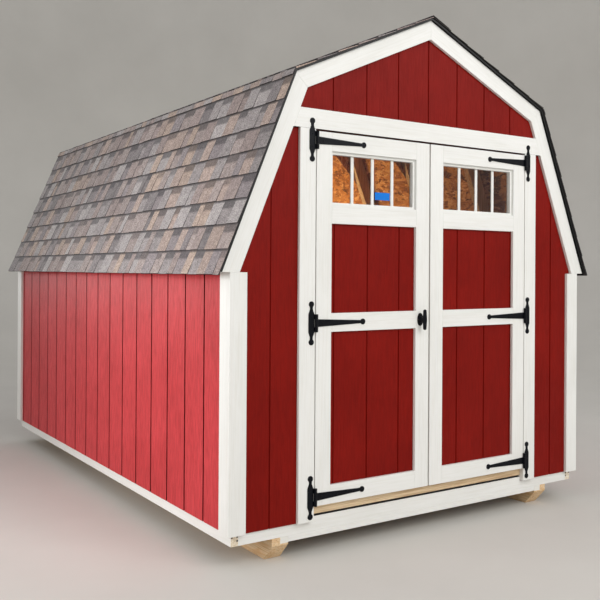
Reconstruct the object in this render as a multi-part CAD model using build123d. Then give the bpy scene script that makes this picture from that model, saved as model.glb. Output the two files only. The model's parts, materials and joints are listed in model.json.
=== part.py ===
"""Gambrel-roofed mini barn on skids, with a pair of hinged doors.

Millimetres, +Z up, the doors face -Y and +X is to the right of someone facing them.
The origin is on the ground, under the middle of the whole barn.
"""
from build123d import *
import math
import os

# Building: outside of the siding, and the sheets that cover it
siding_width = 2316.0
siding_length = 3410.0
siding_thickness = 9.5
siding_lap = 27.0

# Framing lumber
stud_thickness = 38.0
stud_depth = 89.0
stud_spacing = 610.0

# Skids and floor
skid_width = 89.0
skid_height = 113.0
skid_spacing = 1776.0
skid_nose_height = 36.0
skid_nose_run = 70.0
crosspiece_height = 27.0
crosspiece_depth = 89.0
joist_height = 64.0
joist_spacing = 406.0
floor_thickness = 16.0
threshold_gap_height = 10.0
threshold_gap_depth = 14.0

# Walls, from the floor to the top of the upper plate
wall_frame_height = 1162.0

# Roof: the underside of the roof sheets is the line that everything follows
eave_overhang = 64.0
eave_drop = 18.0
lower_run = 385.0
break_over_header = 161.0
upper_rise = 376.0
roof_sheet_thickness = 11.0
rafter_depth = 89.0
rafter_spacing = 560.0
ridge_board_depth = 140.0
gusset_reach = 230.0
gusset_thickness = 11.0

# Shingles, laid in courses that are thick at the lower edge and thin at the upper one
shingle_butt = 7.0
shingle_head = 3.0
shingle_exposure = 125.0
shingle_fold_lap = 33.0
shingle_gable_overhang = 7.0
shingle_eave_overhang = 18.0
ridge_cap_thickness = 8.0
ridge_cap_course_share = 0.9

# Drip edge, a bent strip along the edges of the roof sheets
drip_reach = 13.0
drip_lip = 11.0
drip_gauge = 1.5
drip_corner_gap = 1.2

# White trim boards
trim_thickness = 18.0
trim_width = 89.0
side_corner_board_width = 76.0
header_board_width = 94.0
rake_thickness = 18.0
rake_width = 89.0

# Doors
front_panel_width = 439.0
door_opening_height = 1783.0
door_side_gap = 5.0
door_top_gap = 9.0
door_bottom_gap = 5.0
door_meeting_gap = 9.0
door_stile_width = 89.0
door_rail_width = 89.0
door_mid_rail_height = 863.0
door_ledge_thickness = 18.0
window_height = 256.0
window_frame_border = 13.0
window_frame_recess = 14.0
window_frame_depth = 28.0
glass_thickness = 3.0
glass_setback = 20.0

# Strap hinges
hinge_gauge = 3.5
knuckle_radius = 8.0
knuckle_stand_off = 0.5
knuckle_height = 84.0
knuckle_gap = 0.5
hinge_pin_radius = 4.0
hinge_pin_clearance = 0.08
hinge_plate_width = 32.0
hinge_plate_middle = 86.0
hinge_plate_shoulder = 22.0
hinge_neck_length = 24.0
hinge_neck_width = 15.0
hinge_ball_radius = 14.0
hinge_plate_clearance = 1.0
strap_length = 280.0
strap_root_height = 37.0
strap_tip_height = 14.0

# T handle on the left door
handle_inset = 60.0
handle_base_half_width = 19.0
handle_base_half_height = 33.0
handle_base_rim = 4.0
handle_boss_root_radius = 17.0
handle_boss_top_radius = 14.0
handle_boss_height = 12.0
handle_shaft_radius = 6.0
handle_shaft_clearance = 0.08
handle_shaft_end_gap = 0.3
handle_hub_gap = 5.0
handle_hub_root_radius = 14.0
handle_hub_radius = 10.5
handle_bar_length = 104.0
handle_bar_radius = 11.5
handle_bar_tip_radius = 8.5
handle_bar_tip_chamfer = 4.0
handle_bar_stand_off = 37.5

# One overrun serves all cuts
cut_overrun = 2.0

# Derived: heights
floor_frame_bottom = skid_height
floor_frame_top = floor_frame_bottom + joist_height
floor_top = floor_frame_top + floor_thickness
bottom_plate_top = floor_top + stud_thickness
plate_top = floor_top + wall_frame_height
plate_bottom = plate_top - stud_thickness
siding_bottom = floor_top - siding_lap
door_head = bottom_plate_top + door_opening_height

# Derived: half widths
wall_face = siding_width / 2
frame_face = wall_face - siding_thickness
frame_inside = frame_face - stud_depth
opening_half = wall_face - front_panel_width

# Derived: roof line on the right-hand side
eave_x = wall_face + eave_overhang
eave_z = plate_top - eave_drop
break_x = eave_x - lower_run
break_z = door_head + header_board_width + break_over_header
lower_rise = break_z - eave_z
ridge_z = break_z + upper_rise
lower_length = math.hypot(lower_run, lower_rise)
lower_down = (lower_run / lower_length, -lower_rise / lower_length)
lower_out = (lower_rise / lower_length, lower_run / lower_length)
upper_length = math.hypot(break_x, upper_rise)
upper_down = (break_x / upper_length, -upper_rise / upper_length)
upper_out = (upper_rise / upper_length, break_x / upper_length)

# Derived: places along the barn. The origin is midway between the front and back reach
door_face_reach = trim_thickness
handle_reach = door_face_reach + handle_bar_stand_off + handle_bar_radius
roof_reach = rake_thickness + drip_reach + shingle_gable_overhang
front_reach = max(handle_reach, roof_reach)
front_y = (front_reach - roof_reach - siding_length) / 2
back_y = front_y + siding_length
frame_front_y = front_y + siding_thickness
frame_back_y = back_y - siding_thickness
trim_front_y = front_y - trim_thickness
rake_front_y = front_y - rake_thickness
rake_back_y = back_y + rake_thickness

# Derived: door leaf, for the right-hand door
leaf_meeting_x = door_meeting_gap / 2
leaf_hinge_x = opening_half - door_side_gap
leaf_bottom = bottom_plate_top + door_bottom_gap
leaf_top = door_head - door_top_gap
leaf_window_left = leaf_meeting_x + door_stile_width
leaf_window_right = leaf_hinge_x - door_stile_width
window_top = leaf_top - door_rail_width
window_bottom = window_top - window_height
mid_rail_bottom = leaf_bottom + door_mid_rail_height - door_rail_width / 2
rail_bottoms = [leaf_bottom, mid_rail_bottom, window_bottom - door_rail_width, window_top]
hinge_heights = [rail_bottoms[i] + door_rail_width / 2 for i in (0, 1, 3)]
hinge_x = opening_half - door_side_gap / 2
hinge_y = trim_front_y - knuckle_radius - knuckle_stand_off
handle_z = leaf_bottom + door_mid_rail_height


# Shapes

def block(x_from, x_to, y_from, y_to, z_from, z_to):
    """A box between two corners."""
    size = Box(x_to - x_from, y_to - y_from, z_to - z_from)
    return Pos((x_from + x_to) / 2, (y_from + y_to) / 2, (z_from + z_to) / 2) * size


def prism_y(outline, y_from, y_to):
    """An outline of (x, z) points, extruded along Y."""
    face = Face(Wire.make_polygon([Vector(x, y_from, z) for x, z in outline]))
    return extrude(face, y_to - y_from, dir=(0, 1, 0))


def prism_x(outline, x_from, x_to):
    """An outline of (y, z) points, extruded along X."""
    face = Face(Wire.make_polygon([Vector(x_from, y, z) for y, z in outline]))
    return extrude(face, x_to - x_from, dir=(1, 0, 0))


def disc_y(x, z, radius, y_from, y_to):
    """A disc whose axis is along Y."""
    middle = Plane(origin=(x, y_from, z), x_dir=(1, 0, 0), z_dir=(0, 1, 0))
    return extrude(middle * Circle(radius), y_to - y_from)


def rod_z(x, y, radius, z_from, z_to):
    """A round bar whose axis is along Z."""
    return Pos(x, y, (z_from + z_to) / 2) * Cylinder(radius, z_to - z_from)


def lathed(outline, place):
    """An outline of (radius, height) points, turned about the place's Z axis."""
    profile = make_face(Polyline([(radius, 0, height) for radius, height in outline], close=True))
    return place * revolve(profile, Axis.Z)


def flipped(shape):
    """The same piece on the other side of the barn."""
    return mirror(shape, about=Plane.YZ)


def both_sides(shapes):
    """Pieces of the right-hand side with their copies on the left."""
    return shapes + [flipped(shape) for shape in shapes]


def spaced(first, last, pitch):
    """Places from first to last, evenly spaced, about one pitch apart."""
    bays = max(1, round((last - first) / pitch))
    return [first + (last - first) * bay / bays for bay in range(bays + 1)]


def save(name, shapes):
    """Write one sub-part; its solids don't touch each other."""
    export_step(Compound([shape.solid() for shape in shapes]), f"parts/{name}.step")


# The roof line: points of the right-hand slopes at a distance out from the sheets' underside

def apex_at(out):
    return (0, ridge_z + out / upper_out[1])


def upper_z(x, out=0):
    return apex_at(out)[1] - x * upper_rise / break_x


def lower_z(x, out=0):
    return eave_z + (eave_x - x) * lower_rise / lower_run + out / lower_out[1]


def lower_x(z, out=0):
    return eave_x - (z - eave_z) * lower_run / lower_rise + out / lower_out[0]


def break_at(out):
    slope_difference = lower_rise / lower_run - upper_rise / break_x
    x = (lower_z(0, out) - upper_z(0, out)) / slope_difference
    return (x, upper_z(x, out))


def on_lower(start, along, out):
    """A point at a distance down the lower slope from start, and out from it."""
    return (start[0] + along * lower_down[0] + out * lower_out[0],
            start[1] + along * lower_down[1] + out * lower_out[1])


def on_upper(start, along, out):
    """A point at a distance down the upper slope from start, and out from it."""
    return (start[0] + along * upper_down[0] + out * upper_out[0],
            start[1] + along * upper_down[1] + out * upper_out[1])


def course_steps(butts):
    """(distance down the slope, thickness) at the lower edge of each course, and at the head under it."""
    steps = []
    for butt in butts:
        steps += [(butt, shingle_butt), (butt, shingle_head)]
    return steps[:-1]


# Floor

def make_skids():
    """Runners with their noses cut back at both ends."""
    nose_z = skid_height - skid_nose_height
    outline = [
        (frame_front_y, skid_height),
        (frame_front_y, nose_z),
        (frame_front_y + skid_nose_run, 0),
        (frame_back_y - skid_nose_run, 0),
        (frame_back_y, nose_z),
        (frame_back_y, skid_height),
    ]
    inner = (skid_spacing - skid_width) / 2
    save("skids", both_sides([prism_x(outline, inner, inner + skid_width)]))
    bottom = skid_height - crosspiece_height
    front = block(-inner, inner, frame_front_y, frame_front_y + crosspiece_depth, bottom, skid_height)
    back = block(-inner, inner, frame_back_y - crosspiece_depth, frame_back_y, bottom, skid_height)
    save("skid_crosspieces", [front, back])


def make_floor():
    """Rim joists, joists between them, and the floor sheet, rebated under the doorway's threshold."""
    low, high = floor_frame_bottom, floor_frame_top
    inner = frame_face - stud_thickness
    side = block(inner, frame_face, frame_front_y, frame_back_y, low, high)
    save("side_rim_joists", both_sides([side]))
    first = frame_front_y
    last = frame_back_y - stud_thickness
    places = spaced(first, last, joist_spacing)
    joists = [block(-inner, inner, y, y + stud_thickness, low, high) for y in places]
    save("end_rim_joists", [joists[0], joists[-1]])
    save("floor_joists", joists[1:-1])
    sheet = block(-frame_face, frame_face, frame_front_y, frame_back_y, high, floor_top)
    gap_y = (frame_front_y - cut_overrun, frame_front_y + threshold_gap_depth)
    gap_z = (floor_top - threshold_gap_height, floor_top + cut_overrun)
    sheet -= block(-opening_half, opening_half, *gap_y, *gap_z)
    save("floor_deck", [sheet])


# Wall frames

def make_wall_frames():
    """Plates and studs of the four walls, with the doorway left open."""
    low, high = bottom_plate_top, plate_bottom
    bottom = block(frame_inside, frame_face, frame_front_y, frame_back_y, floor_top, low)
    top = block(frame_inside, frame_face, frame_front_y, frame_back_y, high, plate_top)
    save("side_wall_plates", both_sides([bottom, top]))

    front = (frame_front_y, frame_front_y + stud_depth)
    back = (frame_back_y - stud_depth, frame_back_y)
    jamb = opening_half + stud_thickness
    beside_door = block(opening_half, frame_inside, *front, floor_top, low)
    beside_door_top = block(jamb, frame_inside, *front, high, plate_top)
    back_bottom = block(-frame_inside, frame_inside, *back, floor_top, low)
    back_top = block(-frame_inside, frame_inside, *back, high, plate_top)
    save("end_wall_plates", both_sides([beside_door, beside_door_top]) + [back_bottom, back_top])
    save("door_threshold", [block(-opening_half, opening_half, *front, floor_top, low)])

    side_places = spaced(frame_front_y, frame_back_y - stud_thickness, stud_spacing)
    side_studs = [block(frame_inside, frame_face, y, y + stud_thickness, low, high) for y in side_places]
    save("side_wall_studs", both_sides(side_studs))

    header_top = door_head + stud_depth
    corner = frame_inside - stud_thickness
    end_studs = [
        block(opening_half, jamb, *front, low, header_top),
        block(corner, frame_inside, *front, low, high),
        block(corner, frame_inside, *back, low, high),
    ]
    back_places = spaced(-corner, corner - stud_thickness, stud_spacing)[1:-1]
    back_studs = [block(x, x + stud_thickness, *back, low, high) for x in back_places]
    save("end_wall_studs", both_sides(end_studs) + back_studs)
    save("door_header", [block(-opening_half, opening_half, *front, door_head, header_top)])


# Siding

def make_siding():
    """Sheets cut to the roof line, and split beside and over the doorway."""
    side = [
        (frame_face, siding_bottom),
        (wall_face, siding_bottom),
        (wall_face, lower_z(wall_face)),
        (frame_face, lower_z(frame_face)),
    ]
    right = prism_y(side, front_y, back_y)
    save("right_wall", [right])
    save("left_wall", [flipped(right)])

    beside = [
        (opening_half, siding_bottom),
        (frame_face, siding_bottom),
        (frame_face, lower_z(frame_face)),
        (lower_x(door_head), door_head),
        (opening_half, door_head),
    ]
    front_right = prism_y(beside, front_y, frame_front_y)
    save("front_wall_right", [front_right])
    save("front_wall_left", [flipped(front_right)])

    over = [(lower_x(door_head), door_head), break_at(0), apex_at(0)]
    over += [(-x, z) for x, z in reversed(over[:-1])]
    save("front_gable", [prism_y(over, front_y, frame_front_y)])

    whole = [(frame_face, siding_bottom), (frame_face, lower_z(frame_face)), break_at(0), apex_at(0)]
    whole += [(-x, z) for x, z in reversed(whole[:-1])]
    save("back_wall", [prism_y(whole, frame_back_y, back_y)])


# Roof frame

def make_rafters():
    """Gambrel rafters, mitred at the break, with their feet seated on the upper plates."""
    foot = lower_x(plate_top, -rafter_depth)
    lower = [
        (frame_face, plate_top),
        (frame_face, lower_z(frame_face)),
        break_at(0),
        break_at(-rafter_depth),
        (foot, plate_top),
    ]
    ridge_half = stud_thickness / 2
    upper = [
        break_at(0),
        (ridge_half, upper_z(ridge_half)),
        (ridge_half, upper_z(ridge_half, -rafter_depth)),
        break_at(-rafter_depth),
    ]
    places = spaced(frame_front_y, frame_back_y - stud_thickness, rafter_spacing)
    save("lower_rafters", both_sides([prism_y(lower, y, y + stud_thickness) for y in places]))
    save("upper_rafters", both_sides([prism_y(upper, y, y + stud_thickness) for y in places]))

    ridge_bottom = upper_z(ridge_half) - ridge_board_depth
    ridge = [
        (ridge_half, ridge_bottom),
        (ridge_half, upper_z(ridge_half)),
        apex_at(0),
        (-ridge_half, upper_z(ridge_half)),
        (-ridge_half, ridge_bottom),
    ]
    save("ridge_board", [prism_y(ridge, frame_front_y, frame_back_y)])

    inner_break = break_at(-rafter_depth)
    gusset = [
        break_at(0),
        on_lower(break_at(0), gusset_reach, 0),
        on_lower(inner_break, gusset_reach, 0),
        on_upper(inner_break, -gusset_reach, 0),
        on_upper(break_at(0), -gusset_reach, 0),
    ]
    gusset_places = [y + stud_thickness for y in places[1:-1]]
    gussets = [prism_y(gusset, y, y + gusset_thickness) for y in gusset_places]
    save("rafter_gussets", both_sides(gussets))


# Roof cover

def make_roof_sheets():
    """Roof sheets, mitred at the break and at the ridge."""
    eave = (eave_x, eave_z)
    out = roof_sheet_thickness
    lower = [break_at(0), eave, on_lower(eave, 0, out), break_at(out)]
    upper = [apex_at(0), break_at(0), break_at(out), apex_at(out)]
    save("roof_deck_lower", both_sides([prism_y(lower, rake_front_y, rake_back_y)]))
    upper_right = prism_y(upper, rake_front_y, rake_back_y)
    save("roof_deck_upper_right", [upper_right])
    save("roof_deck_upper_left", [flipped(upper_right)])


def make_shingles():
    """Stepped shingle courses on each slope, and the cap along the ridge."""
    reach = drip_reach + shingle_gable_overhang
    span = (rake_front_y - reach, rake_back_y + reach)
    out = roof_sheet_thickness

    start = break_at(out)
    end = on_lower((eave_x, eave_z), 0, out)
    length = math.dist(start, end) + shingle_eave_overhang
    full_courses = math.ceil((length - shingle_fold_lap) / shingle_exposure)
    # The lowest course of the upper slope folds over the break
    butts = [shingle_fold_lap + shingle_exposure * course for course in range(full_courses)]
    lower = [start, on_lower(start, length, 0)]
    lower += [on_lower(start, along, thick) for along, thick in reversed(course_steps(butts + [length]))]
    lower.append(break_at(out + shingle_butt))
    save("lower_shingles", both_sides([prism_y(lower, *span)]))

    top = apex_at(out)
    length = math.dist(top, start)
    courses = max(1, round(length / shingle_exposure))
    steps = course_steps([length * (course + 1) / courses for course in range(courses)])
    upper = [top, start, break_at(out + shingle_butt)]
    upper += [on_upper(top, along, thick) for along, thick in reversed(steps[:-1])]
    upper.append(apex_at(out + shingle_head))
    upper_right = prism_y(upper, *span)
    save("upper_shingles_right", [upper_right])
    save("upper_shingles_left", [flipped(upper_right)])

    peak = Vector(*apex_at(out + shingle_head))
    course_end = Vector(*on_upper(top, *steps[0]))
    cap_edge = peak + (course_end - peak) * ridge_cap_course_share
    seat = (cap_edge.X, cap_edge.Y)
    cap = [seat, on_upper(seat, 0, ridge_cap_thickness), apex_at(out + shingle_head + ridge_cap_thickness)]
    cap += [(-x, z) for x, z in reversed(cap[:-1])]
    cap.append(apex_at(out + shingle_head))
    save("ridge_cap", [prism_y(cap, *span)])


def roof_band(out_from, out_to):
    """An outline that follows the whole roof line between two distances out from it."""
    eave = (eave_x, eave_z)
    outer = [on_lower(eave, 0, out_to), break_at(out_to), apex_at(out_to)]
    outer += [(-x, z) for x, z in reversed(outer[:-1])]
    inner = [on_lower(eave, 0, out_from), break_at(out_from), apex_at(out_from)]
    inner += [(-x, z) for x, z in reversed(inner[:-1])]
    return outer + inner[::-1]


def make_drip_edges():
    """Bent strips along the gable ends and the eaves, each with a flange and a lip."""
    out = roof_sheet_thickness
    flange = roof_band(out - drip_gauge, out)
    lip = roof_band(out - drip_lip, out)
    lip_y = rake_front_y - drip_reach
    front = prism_y(flange, lip_y, rake_front_y) + prism_y(lip, lip_y, lip_y + drip_gauge)
    lip_y = rake_back_y + drip_reach
    back = prism_y(flange, rake_back_y, lip_y) + prism_y(lip, lip_y - drip_gauge, lip_y)

    eave = (eave_x, eave_z)
    strip = [
        on_lower(eave, 0, out),
        on_lower(eave, drip_reach, out),
        on_lower(eave, drip_reach, out - drip_lip),
        on_lower(eave, drip_reach - drip_gauge, out - drip_lip),
        on_lower(eave, drip_reach - drip_gauge, out - drip_gauge),
        on_lower(eave, 0, out - drip_gauge),
    ]
    right = prism_y(strip, rake_front_y + drip_corner_gap, rake_back_y - drip_corner_gap)
    save("drip_edges", [front, back] + both_sides([right]))


# White trim

def make_trim():
    """Rakes, corner boards, door casings and the board over the doors."""
    lower = [
        break_at(0),
        (eave_x, eave_z),
        (lower_x(eave_z, -rake_width), eave_z),
        break_at(-rake_width),
    ]
    upper = [apex_at(0), break_at(0), break_at(-rake_width), apex_at(-rake_width)]
    ends = [(rake_front_y, front_y), (back_y, rake_back_y)]
    save("lower_rakes", both_sides([prism_y(lower, *end) for end in ends]))
    upper_right = [prism_y(upper, *end) for end in ends]
    save("upper_rakes_right", upper_right)
    save("upper_rakes_left", [flipped(rake) for rake in upper_right])

    outer = wall_face + trim_thickness
    board = (outer - trim_width, outer)
    front = block(*board, trim_front_y, front_y, siding_bottom, eave_z)
    back = block(*board, back_y, back_y + trim_thickness, siding_bottom, eave_z)
    save("end_corner_boards", both_sides([front, back]))
    side = [
        (wall_face, siding_bottom),
        (outer, siding_bottom),
        (outer, lower_z(outer)),
        (wall_face, lower_z(wall_face)),
    ]
    side_front = prism_y(side, front_y, front_y + side_corner_board_width)
    side_back = prism_y(side, back_y - side_corner_board_width, back_y)
    save("side_corner_boards", both_sides([side_front, side_back]))

    casing = block(opening_half, opening_half + trim_width, trim_front_y, front_y, siding_bottom, door_head)
    save("door_casings", both_sides([casing]))
    header_top = door_head + header_board_width
    header = [
        (lower_x(door_head, -rake_width), door_head),
        (lower_x(header_top, -rake_width), header_top),
    ]
    header += [(-x, z) for x, z in reversed(header)]
    save("front_header_board", [prism_y(header, trim_front_y, front_y)])


# Hinges

def make_hinge_plate(z):
    """The fixed half: a plate with ball ends, two knuckles and the pin."""
    faces = (trim_front_y - hinge_gauge, trim_front_y)
    inner = hinge_x + knuckle_radius + hinge_plate_clearance
    outer = inner + hinge_plate_width
    middle = (inner + outer) / 2
    neck_half = hinge_neck_width / 2
    shoulder = hinge_plate_middle / 2
    neck = shoulder + hinge_plate_shoulder
    reach = neck + hinge_neck_length
    quarter = [
        (middle + neck_half, reach),
        (middle + neck_half, neck),
        (outer, shoulder),
    ]
    right_edge = quarter + [(x, -h) for x, h in reversed(quarter)]
    left_edge = [(middle - (x - middle), h) for x, h in reversed(right_edge)]
    plate = prism_y([(x, z + h) for x, h in right_edge + left_edge], *faces)
    knuckle_low = strap_root_height / 2 + knuckle_gap
    knuckle_high = knuckle_height / 2
    for side in (1, -1):
        plate += disc_y(middle, z + side * reach, hinge_ball_radius, *faces)
        near, far = sorted((z + side * knuckle_low, z + side * knuckle_high))
        plate += block(hinge_x, inner, *faces, near, far)
        plate += rod_z(hinge_x, hinge_y, knuckle_radius, near, far)
    return plate + rod_z(hinge_x, hinge_y, hinge_pin_radius, z - knuckle_low, z + knuckle_low)


def make_hinge_strap(z):
    """The moving half: a tapered strap with a ball end, bored for the pin."""
    root = hinge_x
    tip = hinge_x - strap_length
    outline = [
        (root, z - strap_root_height / 2),
        (root, z + strap_root_height / 2),
        (tip, z + strap_tip_height / 2),
        (tip, z - strap_tip_height / 2),
    ]
    faces = (trim_front_y - hinge_gauge, trim_front_y)
    low, high = z - strap_root_height / 2, z + strap_root_height / 2
    strap = prism_y(outline, *faces) + disc_y(tip, z, hinge_ball_radius, *faces)
    strap += rod_z(hinge_x, hinge_y, knuckle_radius, low, high)
    bore = hinge_pin_radius + hinge_pin_clearance
    return strap - rod_z(hinge_x, hinge_y, bore, low - cut_overrun, high + cut_overrun)


# Doors

def make_door(side, turned):
    """One leaf: siding panel, boards on its face and back, a window and its hinge straps."""
    panel = block(leaf_meeting_x, leaf_hinge_x, front_y, frame_front_y, leaf_bottom, leaf_top)
    panel -= block(leaf_window_left, leaf_window_right, front_y - cut_overrun, frame_front_y + cut_overrun,
                   window_bottom, window_top)
    save(f"{side}_door_panel", turned([panel]))

    face = (trim_front_y, front_y)
    stiles = [
        block(leaf_meeting_x, leaf_window_left, *face, leaf_bottom, leaf_top),
        block(leaf_window_right, leaf_hinge_x, *face, leaf_bottom, leaf_top),
    ]
    save(f"{side}_door_stiles", turned(stiles))
    rails = [block(leaf_window_left, leaf_window_right, *face, z, z + door_rail_width) for z in rail_bottoms]
    save(f"{side}_door_rails", turned(rails))
    back = (frame_front_y, frame_front_y + door_ledge_thickness)
    ledges = [block(leaf_meeting_x, leaf_hinge_x, *back, z, z + door_rail_width) for z in rail_bottoms]
    save(f"{side}_door_ledges", turned(ledges))

    frame_face_y = trim_front_y + window_frame_recess
    depth = (frame_face_y, frame_face_y + window_frame_depth)
    left, right = leaf_window_left + window_frame_border, leaf_window_right - window_frame_border
    low, high = window_bottom + window_frame_border, window_top - window_frame_border
    frame = block(leaf_window_left, leaf_window_right, *depth, window_bottom, window_top)
    frame -= block(left, right, depth[0] - cut_overrun, depth[1] + cut_overrun, low, high)
    save(f"{side}_window_frame", turned([frame]))
    glass_y = frame_face_y + glass_setback
    glass = block(left, right, glass_y, glass_y + glass_thickness, low, high)
    save(f"{side}_window_glass", turned([glass]))
    save(f"{side}_hinge_straps", turned([make_hinge_strap(z) for z in hinge_heights]))


def make_handle():
    """Oval rose on the left door's meeting stile, and the T handle that turns in it."""
    axis_x = -(leaf_meeting_x + handle_inset)
    bore = handle_shaft_radius + handle_shaft_clearance
    boss_outline = [
        (0, 0),
        (handle_boss_root_radius, 0),
        (handle_boss_root_radius, handle_base_rim),
        (handle_boss_top_radius, handle_boss_height),
        (0, handle_boss_height),
    ]
    bore_end = handle_boss_height + cut_overrun
    bore_outline = [(0, -cut_overrun), (bore, -cut_overrun), (bore, bore_end), (0, bore_end)]
    hub_start = handle_boss_height + handle_hub_gap
    hub_end = handle_bar_stand_off
    turning_outline = [
        (0, handle_shaft_end_gap),
        (handle_shaft_radius, handle_shaft_end_gap),
        (handle_shaft_radius, hub_start),
        (handle_hub_root_radius, hub_start),
        (handle_hub_radius, hub_end),
        (0, hub_end),
    ]
    half = handle_bar_length / 2
    shoulder = half - handle_bar_tip_chamfer
    tip = handle_bar_tip_radius - handle_bar_tip_chamfer
    upper_arm = [(handle_bar_radius, 0), (handle_bar_tip_radius, shoulder), (tip, half), (0, half)]
    bar_outline = [(r, -h) for r, h in reversed(upper_arm[1:])] + upper_arm
    # The turning axis runs straight out of the door's face
    seat = Plane(origin=(axis_x, trim_front_y, handle_z), x_dir=(1, 0, 0), z_dir=(0, -1, 0))
    bar_middle = Plane(origin=(axis_x, trim_front_y - handle_bar_stand_off, handle_z))
    oval = seat * extrude(Ellipse(handle_base_half_width, handle_base_half_height), handle_base_rim)
    save("handle_base", [oval + lathed(boss_outline, seat) - lathed(bore_outline, seat)])
    save("t_handle", [lathed(turning_outline, seat) + lathed(bar_outline, bar_middle)])


os.makedirs("parts", exist_ok=True)
make_skids()
make_floor()
make_wall_frames()
make_siding()
make_rafters()
make_roof_sheets()
make_shingles()
make_drip_edges()
make_trim()
save("hinge_plates", both_sides([make_hinge_plate(z) for z in hinge_heights]))
make_door("right", list)
make_door("left", lambda shapes: [flipped(shape) for shape in shapes])
make_handle()
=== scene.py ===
"""Looks of the gambrel-roofed mini barn: finishes, siding grooves, shingles, window bars and fasteners.

Metres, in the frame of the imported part: the doors face -Y and +X is to the right of someone facing them.
"""
import json
import math
import random

import bmesh
import bpy
from mathutils import Matrix, Vector

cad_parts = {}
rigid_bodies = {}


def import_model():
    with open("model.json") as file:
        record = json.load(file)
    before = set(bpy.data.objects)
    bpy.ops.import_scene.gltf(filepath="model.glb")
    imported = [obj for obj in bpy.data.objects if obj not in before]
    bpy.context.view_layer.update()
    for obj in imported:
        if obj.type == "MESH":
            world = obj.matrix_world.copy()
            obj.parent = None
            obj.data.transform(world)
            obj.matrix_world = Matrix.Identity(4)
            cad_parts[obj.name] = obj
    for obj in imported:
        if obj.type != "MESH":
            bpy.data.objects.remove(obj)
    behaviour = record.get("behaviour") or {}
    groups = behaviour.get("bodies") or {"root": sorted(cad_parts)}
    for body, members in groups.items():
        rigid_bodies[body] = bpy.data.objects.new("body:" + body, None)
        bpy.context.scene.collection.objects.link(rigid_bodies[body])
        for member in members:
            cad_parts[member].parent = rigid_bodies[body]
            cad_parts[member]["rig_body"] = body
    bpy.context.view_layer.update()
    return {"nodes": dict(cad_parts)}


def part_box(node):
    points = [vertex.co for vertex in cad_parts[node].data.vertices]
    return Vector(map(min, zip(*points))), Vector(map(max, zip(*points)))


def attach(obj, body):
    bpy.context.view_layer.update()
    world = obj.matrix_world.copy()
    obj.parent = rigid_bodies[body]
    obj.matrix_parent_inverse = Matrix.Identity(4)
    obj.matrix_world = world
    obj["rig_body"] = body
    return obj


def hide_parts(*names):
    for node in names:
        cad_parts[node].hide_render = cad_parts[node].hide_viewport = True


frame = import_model()

# Places read from the frame
side_low, side_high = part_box("right_wall")
frame_face, wall_face = side_low.x, side_high.x
front_y, back_y = side_low.y, side_high.y
siding_bottom = side_low.z
siding_thickness = wall_face - frame_face

beside_low, beside_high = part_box("front_wall_right")
opening_half = beside_low.x
frame_front_y = beside_high.y
door_head = beside_high.z
frame_back_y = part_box("back_wall")[0].y

eave_x, eave_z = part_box("lower_rakes")[1].x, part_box("lower_rakes")[0].z
break_x, break_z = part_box("upper_rakes_right")[1].x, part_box("lower_rakes")[1].z
ridge_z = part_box("upper_rakes_right")[1].z
roof_front_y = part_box("upper_shingles_right")[0].y
roof_back_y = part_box("upper_shingles_right")[1].y
trim_front_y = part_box("door_casings")[0].y

floor_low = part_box("floor_deck")[0]
leaf_low, leaf_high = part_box("right_door_panel")
window_low, window_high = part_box("right_window_frame")
pane_low, pane_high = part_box("right_window_glass")

# Siding: grooves cut in the sheets, and where they fall
groove_pitch = 0.2032
groove_width = 0.010
groove_depth = 0.005
groove_slope = 0.0015
side_groove_width = 0.012
side_groove_depth = 0.0075
side_groove_start = 0.262
beside_door_groove = 0.957
left_door_groove = -0.600
right_door_groove = 0.211
side_groove_count = 16
end_groove_reach = 5
door_groove_count = 3

# Shingles, in courses of laminated tabs
roof_sheet_thickness = 0.011
shingle_exposure = 0.125
shingle_fold_lap = 0.033
shingle_eave_overhang = 0.018
shingle_head = 0.003
shingle_butt = 0.0085
shingle_gap_butt = 0.0062
shingle_tuck = 0.010
shingle_slip = 0.0012
tab_width_range = (0.050, 0.130)
tab_lift_range = (-0.0003, 0.0009)
tab_tone_range = (1.17, 1.44)
tab_head_share = 0.8
tab_raised_share = 0.5
tab_swap_share = 0.92
laid_back_shares = (1.0, 1.0, 1.0, 0.9, 0.7)
shingle_seed = 11
cap_exposure = 0.142
cap_length = 0.165
cap_half_width = 0.112
cap_thickness = 0.0032
cap_lift = 0.0045
cap_seed = 5

# Eased edges of boards and ironwork
board_ease = 0.0016
board_sharp_angle = math.radians(25)
iron_ease = 0.0007
iron_sharp_angle = math.radians(40)
iron_smooth_angle = math.radians(38)
ease_segments = 2
ease_profile = 0.5

# Tolerances: points taken as one, faces taken as flat or as square to an axis, a sheet's least height
same_place = 1e-5
flat_angle = math.radians(1)
square_on = 0.9
sliver = 1e-4

# Window bars, fasteners and tape
muntin_count = 3
muntin_width = 0.0175
muntin_setback = 0.012
muntin_gap = 0.0006
screw_radius = 0.0042
screw_height = 0.0020
iron_thickness = 0.0035
hinge_apart = 0.2
plate_screw_inset = 0.016
plate_screw_rises = (-0.062, -0.030, 0.030, 0.062)
strap_screw_inset = 0.010
strap_screw_shares = (0.12, 0.42, 0.72)
nail_radius = 0.0044
nail_height = 0.0012
rim_nail_places = ((0.033, 0.0100), (0.033, -0.0075), (0.006, 0.0095))
dome_sides = 14
dome_shares = ((1.0, 0.0), (1.0, 0.35), (0.78, 0.75), (0.38, 0.97))
dome_smooth_angle = math.radians(40)
tape_width = 0.094
tape_height = 0.038
tape_thickness = 0.0006
tape_panes_along = 2.54
tape_rise = 0.028
tape_curl = 0.0012
tape_curl_from_share = 0.8
tape_steps = 12

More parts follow.
